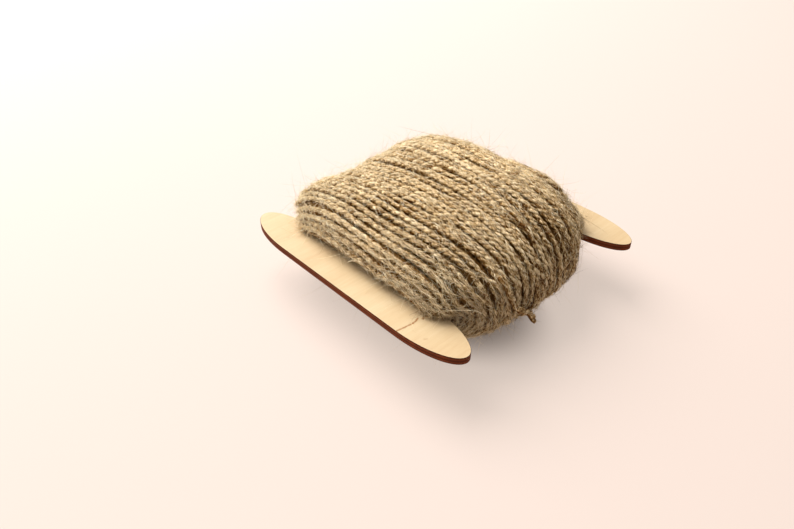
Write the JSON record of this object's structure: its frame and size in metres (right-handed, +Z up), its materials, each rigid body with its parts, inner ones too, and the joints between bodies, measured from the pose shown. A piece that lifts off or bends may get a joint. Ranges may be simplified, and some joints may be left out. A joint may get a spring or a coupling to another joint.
{
  "type": "twine wound on a flat wooden card",
  "caption": "Hairy jute twine wound round the waist of a flat plywood card with an oval wing at each end, its loose end poking out at the side.",
  "frame": {"origin": "under the middle of the card, on the surface that the winding lies on", "axes": "+X along the card's wings, +Y along the card from the near wing to the far wing, +Z up"},
  "size_m": [0.12, 0.115, 0.0495],
  "materials": {
    "plywood": "bare birch plywood with a laser-burnt edge",
    "jute": "coarse hairy two-ply jute"
  },
  "bodies": {
    "root": {"card": "plywood", "winding": "jute", "twine_end": "jute"}
  },
  "joints": []
}
